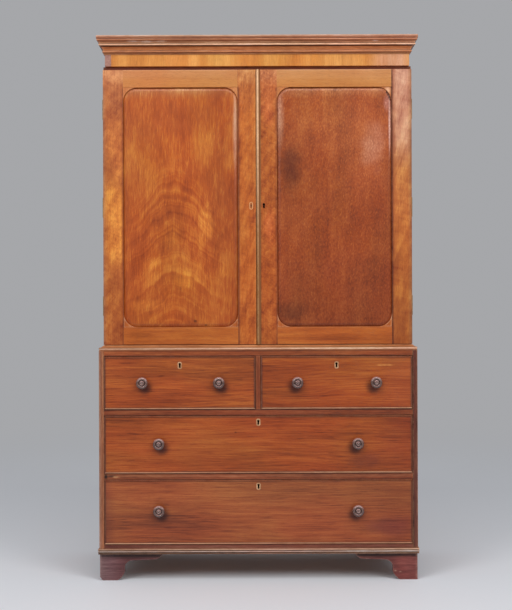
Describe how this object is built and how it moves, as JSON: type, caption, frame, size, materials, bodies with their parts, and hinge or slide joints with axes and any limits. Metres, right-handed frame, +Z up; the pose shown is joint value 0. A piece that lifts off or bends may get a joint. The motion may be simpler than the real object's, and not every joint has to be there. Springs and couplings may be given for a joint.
{
  "type": "linen press",
  "caption": "Two-part linen press on bracket feet: a panelled cupboard with sliding trays above a chest of cock-beaded drawers with turned knobs.",
  "frame": {"origin": "on the floor, under the middle of the bounding box", "axes": "+Z up, the front with doors and drawers faces -Y"},
  "size_m": [1.24, 0.583, 2.1],
  "materials": {
    "show_wood": "French-polished mahogany, worn",
    "figured_wood": "French-polished figured mahogany",
    "frieze_wood": "polished golden cross-grained mahogany",
    "foot_wood": "dark stained, worn",
    "knob_wood": "dark polished turned wood",
    "carcass_wood": "unfinished pine, aged",
    "lining_wood": "plain oak, unpolished",
    "brass": "aged brass",
    "bolt_brass": "aged brass, rubbed bright"
  },
  "bodies": {
    "case": {"bracket_feet": "foot_wood", "base_moulding": "show_wood", "lower_sides": "show_wood", "lower_bottom": "carcass_wood", "lower_top": "carcass_wood", "lower_back_boards": "carcass_wood", "drawer_rails": "show_wood", "drawer_runners": "carcass_wood", "dustboards": "carcass_wood", "waist_moulding": "show_wood", "upper_sides": "show_wood", "upper_bottom": "carcass_wood", "upper_top": "carcass_wood", "upper_back_boards": "carcass_wood", "tray_runners": "carcass_wood", "frieze_front": "frieze_wood", "frieze_returns": "frieze_wood", "cornice_front": "show_wood", "cornice_returns": "show_wood", "case_hinge_leaves": "brass", "glue_blocks": "carcass_wood"},
    "left_door": {"left_door_stiles": "show_wood", "left_door_rails": "show_wood", "left_door_panel": "figured_wood", "left_door_spandrels": "show_wood", "left_door_brass": "brass"},
    "left_door_top_bolt": {"left_door_top_bolt": "brass"},
    "left_door_bottom_bolt": {"left_door_bottom_bolt": "brass"},
    "right_door": {"right_door_stiles": "show_wood", "right_door_rails": "show_wood", "right_door_panel": "figured_wood", "right_door_spandrels": "show_wood", "right_door_hinge_leaves": "brass", "right_door_astragal": "brass", "right_door_lock": "brass"},
    "right_door_lock_bolt": {"right_door_lock_bolt": "bolt_brass"},
    "tray_1": {"tray_1": "lining_wood"},
    "tray_2": {"tray_2": "lining_wood"},
    "tray_3": {"tray_3": "lining_wood"},
    "tray_4": {"tray_4": "lining_wood"},
    "bottom_drawer": {"bottom_drawer_front": "show_wood", "bottom_drawer_box": "lining_wood", "bottom_drawer_knobs": "knob_wood", "bottom_drawer_lock": "brass"},
    "bottom_drawer_bolt": {"bottom_drawer_bolt": "bolt_brass"},
    "middle_drawer": {"middle_drawer_front": "show_wood", "middle_drawer_box": "lining_wood", "middle_drawer_knobs": "knob_wood", "middle_drawer_lock": "brass"},
    "middle_drawer_bolt": {"middle_drawer_bolt": "bolt_brass"},
    "top_left_drawer": {"top_left_drawer_front": "show_wood", "top_left_drawer_box": "lining_wood", "top_left_drawer_knobs": "knob_wood", "top_left_drawer_lock": "brass"},
    "top_left_drawer_bolt": {"top_left_drawer_bolt": "bolt_brass"},
    "top_right_drawer": {"top_right_drawer_front": "show_wood", "top_right_drawer_box": "lining_wood", "top_right_drawer_knobs": "knob_wood", "top_right_drawer_lock": "brass"},
    "top_right_drawer_bolt": {"top_right_drawer_bolt": "bolt_brass"}
  },
  "joints": [
    {"name": "left_door_hinge", "type": "hinge", "parent": "case", "child": "left_door", "pos_m": [-0.598, -0.2145, 1.4388], "axis": [0, 0, -1], "range_deg": [0, 175]},
    {"name": "right_door_hinge", "type": "hinge", "parent": "case", "child": "right_door", "pos_m": [0.598, -0.2145, 1.4388], "axis": [0, 0, 1], "range_deg": [0, 175]},
    {"name": "bottom_drawer_slide", "type": "slide", "parent": "case", "child": "bottom_drawer", "axis": [0, -1, 0], "range_m": [0, 0.38]},
    {"name": "middle_drawer_slide", "type": "slide", "parent": "case", "child": "middle_drawer", "axis": [0, -1, 0], "range_m": [0, 0.38]},
    {"name": "top_left_drawer_slide", "type": "slide", "parent": "case", "child": "top_left_drawer", "axis": [0, -1, 0], "range_m": [0, 0.38]},
    {"name": "top_right_drawer_slide", "type": "slide", "parent": "case", "child": "top_right_drawer", "axis": [0, -1, 0], "range_m": [0, 0.38]},
    {"name": "tray_1_slide", "type": "slide", "parent": "case", "child": "tray_1", "axis": [0, -1, 0], "range_m": [0, 0.04]},
    {"name": "tray_2_slide", "type": "slide", "parent": "case", "child": "tray_2", "axis": [0, -1, 0], "range_m": [0, 0.04]},
    {"name": "tray_3_slide", "type": "slide", "parent": "case", "child": "tray_3", "axis": [0, -1, 0], "range_m": [0, 0.04]},
    {"name": "tray_4_slide", "type": "slide", "parent": "case", "child": "tray_4", "axis": [0, -1, 0], "range_m": [0, 0.04]},
    {"name": "bottom_drawer_bolt_throw", "type": "slide", "parent": "bottom_drawer", "child": "bottom_drawer_bolt", "axis": [0, 0, 1], "range_m": [0, 0.008]},
    {"name": "middle_drawer_bolt_throw", "type": "slide", "parent": "middle_drawer", "child": "middle_drawer_bolt", "axis": [0, 0, 1], "range_m": [0, 0.008]},
    {"name": "top_left_drawer_bolt_throw", "type": "slide", "parent": "top_left_drawer", "child": "top_left_drawer_bolt", "axis": [0, 0, 1], "range_m": [0, 0.008]},
    {"name": "top_right_drawer_bolt_throw", "type": "slide", "parent": "top_right_drawer", "child": "top_right_drawer_bolt", "axis": [0, 0, 1], "range_m": [0, 0.008]},
    {"name": "right_door_lock_bolt_throw", "type": "slide", "parent": "right_door", "child": "right_door_lock_bolt", "axis": [-1, 0, 0], "range_m": [0, 0.012]},
    {"name": "left_door_top_bolt_throw", "type": "slide", "parent": "left_door", "child": "left_door_top_bolt", "axis": [0, 0, 1], "range_m": [0, 0.022]},
    {"name": "left_door_bottom_bolt_throw", "type": "slide", "parent": "left_door", "child": "left_door_bottom_bolt", "axis": [0, 0, -1], "range_m": [0, 0.0089]}
  ]
}
